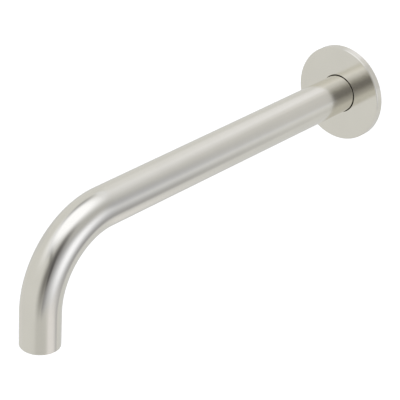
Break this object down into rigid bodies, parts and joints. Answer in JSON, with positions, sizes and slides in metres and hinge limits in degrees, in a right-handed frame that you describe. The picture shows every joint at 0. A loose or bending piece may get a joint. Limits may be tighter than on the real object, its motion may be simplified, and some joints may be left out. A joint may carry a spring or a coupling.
{
  "type": "wall mounted bath faucet spout",
  "caption": "Round bent tube spout for a wall above a bath, with a flat round cover flange, a pipe thread nipple behind it and a screw-in aerator in its downturned end.",
  "frame": {"origin": "where the arm's axis meets the wall's surface", "axes": "+Y into the wall, -Y along the arm, -Z down out of the outlet"},
  "size_m": [0.0562, 0.2782, 0.0921],
  "materials": {
    "brushed_nickel": "brushed nickel plate on brass",
    "raw_brass": "turned brass",
    "black_rubber": "moulded rubber",
    "white_plastic": "moulded acetal",
    "stainless_wire": "stainless wire",
    "black_steel": "black oxide steel",
    "foam": "closed cell foam"
  },
  "bodies": {
    "spout": {"spout_tube": "brushed_nickel", "inlet_socket": "raw_brass", "outlet_ring": "raw_brass", "wall_nipple": "raw_brass", "nipple_o_ring_rear": "black_rubber", "nipple_o_ring_front": "black_rubber", "nipple_seal_washer": "black_rubber"},
    "locking_screw": {"set_screw": "black_steel"},
    "flange_grip": {"flange_o_ring": "black_rubber"},
    "flange": {"flange_plate": "brushed_nickel", "flange_gasket": "foam"},
    "aerator_cartridge": {"aerator_core": "white_plastic", "aerator_washer": "black_rubber", "aerator_honeycomb": "white_plastic", "aerator_mesh_bottom": "stainless_wire", "aerator_mesh_middle": "stainless_wire", "aerator_mesh_top": "stainless_wire", "aerator_diffuser": "white_plastic", "aerator_strainer": "white_plastic"},
    "aerator_shell": {"aerator_housing": "white_plastic"}
  },
  "joints": [
    {"name": "flange_slide", "type": "slide", "parent": "spout", "child": "flange_grip", "axis": [0, -1, 0], "range_m": [0, 0.04]},
    {"name": "flange_turn", "type": "hinge", "parent": "flange_grip", "child": "flange", "pos_m": [0, 0, 0], "axis": [0, -1, 0], "continuous": true},
    {"name": "aerator_drop", "type": "slide", "parent": "spout", "child": "aerator_cartridge", "axis": [0, 0, -1], "range_m": [0, 0.005]},
    {"name": "aerator_unscrew", "type": "hinge", "parent": "aerator_cartridge", "child": "aerator_shell", "pos_m": [0, -0.25, -0.06], "axis": [0, 0, -1], "range_deg": [0, 1801]},
    {"name": "locking_screw_out", "type": "slide", "parent": "spout", "child": "locking_screw", "axis": [0, 0, -1], "range_m": [0, 0.0016]}
  ],
  "couplings": [
    {"joint": "aerator_unscrew", "follows": "aerator_drop", "rad_per_m": 6283.2}
  ]
}
